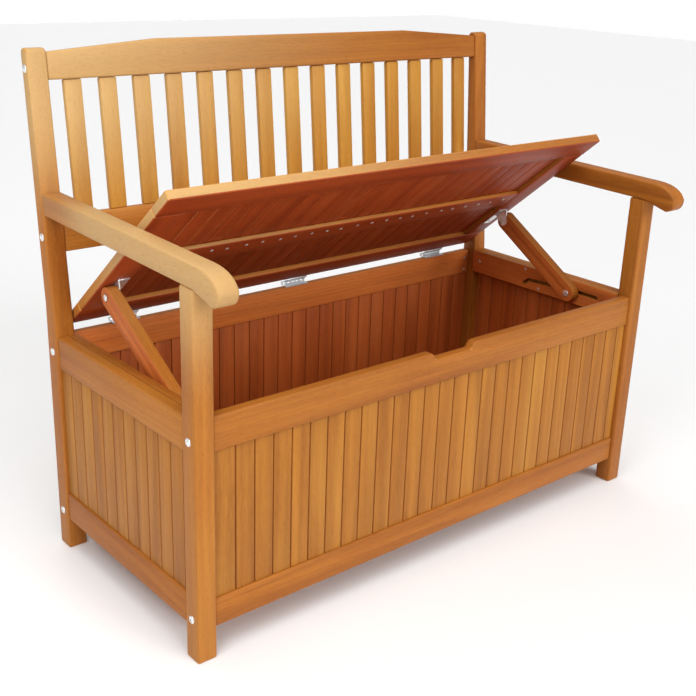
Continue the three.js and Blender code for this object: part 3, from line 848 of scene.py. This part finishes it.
def lidNails():
    # one nail through the batten into each board
    low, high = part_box("lid_batten")
    rear, _ = nodeReach("lid_batten", lidSlope, lidPivot)
    under, _ = nodeReach("lid_batten", lidNormal, lidPivot)
    base = hingeMiddle + lidSlope * (rear + nailPlaces["fromRear"]) + lidNormal * under
    pitch = panelLayout["lidPitch"]
    across, along = nailPlaces["driftAcross"], nailPlaces["driftAlong"]
    places = []
    for i in range(int((high.x - low.x) / pitch)):
        at = base + right * (low.x + (i + 0.5) * pitch + seeds.uniform(-across, across))
        places.append((at + lidSlope * seeds.uniform(-along, along), -lidNormal))
    fasteners("lidNails", "nail", "seat_lid", "zinc", places, nailPlaces["seed"])


def bracketScrews():
    # two through each bracket's leaf, which lies under the lid
    places = []
    under, _ = nodeReach("lid_batten", lidNormal, lidPivot)
    for side, out, _ in sides:
        low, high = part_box(side + "_prop_bracket")
        rear, _ = nodeReach(side + "_prop_bracket", lidSlope, lidPivot)
        inner = high.x if out < 0 else low.x
        for fromRear in bracketPlaces["fromRear"]:
            at = hingeMiddle + right * (inner + out * bracketPlaces["inset"])
            at += lidSlope * (rear + fromRear) + lidNormal * (under - bracketPlaces["leaf"])
            places.append((at, -lidNormal))
    fasteners("bracketScrews", "screw", "seat_lid", "bright_steel", places, bracketPlaces["seed"])


legBolts()
boxScrews()
lidNails()
bracketScrews()
print("fasteners placed")

studio = {
    "floor": {"size": 24, "colour": (0.93, 0.93, 0.93, 1), "roughness": 0.85},
    "fill": 0.20,               # the white surroundings' own light on the bench
    "shine": 0.42,              # the same in the bench's reflections
    "backdrop": 1.0,            # the same surroundings as the camera sees them
    # azimuth and height as seen from the bench, softness in degrees, strength
    "suns": {
        "keyLight": (-28, 48, 38, 0.85),
        "frontLight": (14, 24, 30, 1.30),
        "topLight": (-10, 84, 40, 0.95),
        "rearLight": (170, 55, 40, 0.5),
    },
    "sunDistance": 4,
    # a panel near the bench's upper left corner
    "panel": {"place": Vector((-1.75, -0.75, 1.75)), "aim": Vector((-0.45, 0.0, 0.72)), "size": 1.1,
              "watts": 18},
}


def paleFloor():
    sizes = studio["floor"]
    bpy.ops.mesh.primitive_plane_add(size=sizes["size"])
    floor = bpy.context.active_object
    floor.name = "floor"
    material, maker = emptyMaterial("pale floor")
    shader = maker.node("ShaderNodeBsdfPrincipled", None,
                        {"Base Color": sizes["colour"], "Roughness": sizes["roughness"]})
    maker.node("ShaderNodeOutputMaterial", None, {"Surface": shader})
    floor.data.materials.append(material)


def surroundings():
    world = bpy.data.worlds.new("studio")
    bpy.context.scene.world = world
    world.use_nodes = True
    maker = NodeMaker(world.node_tree)
    seen = maker.node("ShaderNodeLightPath", output="Is Camera Ray")
    glossy = maker.node("ShaderNodeLightPath", output="Is Glossy Ray")
    fill = studio["fill"]
    strength = seen * (studio["backdrop"] - fill) + glossy * (studio["shine"] - fill) + fill
    sky = maker.node("ShaderNodeBackground", None, {"Color": (1, 1, 1, 1), "Strength": strength})
    maker.node("ShaderNodeOutputWorld", None, {"Surface": sky})


def lightAt(name, kind, place, direction):
    lamp = bpy.data.lights.new(name, kind)
    obj = linked(name, lamp)
    obj.location = place
    obj.rotation_euler = direction.to_track_quat("-Z", "Y").to_euler()
    return lamp


def studioLights():
    for name, (azimuth, height, softness, energy) in studio["suns"].items():
        a, h = math.radians(azimuth), math.radians(height)
        source = Vector((math.sin(a) * math.cos(h), -math.cos(a) * math.cos(h), math.sin(h)))
        lamp = lightAt(name, "SUN", source * studio["sunDistance"], -source)
        lamp.angle, lamp.energy = math.radians(softness), energy
    panel = studio["panel"]
    lamp = lightAt("cornerPanel", "AREA", panel["place"], panel["aim"] - panel["place"])
    lamp.size, lamp.energy = panel["size"], panel["watts"]


camera = {"place": (-1.3278, -1.4710, 1.0993), "azimuth": 40.68, "dip": 20.55, "roll": 2.0,
          "lens": 56.03, "sensor": 36}


def benchCamera():
    data = bpy.data.cameras.new("camera")
    data.lens = camera["lens"]
    data.sensor_width = camera["sensor"]
    obj = linked("camera", data)
    obj.location = camera["place"]
    turn = Matrix.Rotation(-math.radians(camera["azimuth"]), 3, "Z")
    tip = Matrix.Rotation(math.radians(90 - camera["dip"]), 3, "X")
    lean = Matrix.Rotation(math.radians(camera["roll"]), 3, "Z")
    obj.rotation_euler = (turn @ tip @ lean).to_euler()
    bpy.context.scene.camera = obj


paleFloor()
surroundings()
studioLights()
benchCamera()
bpy.context.scene.view_settings.view_transform = "Standard"
print("stage set")
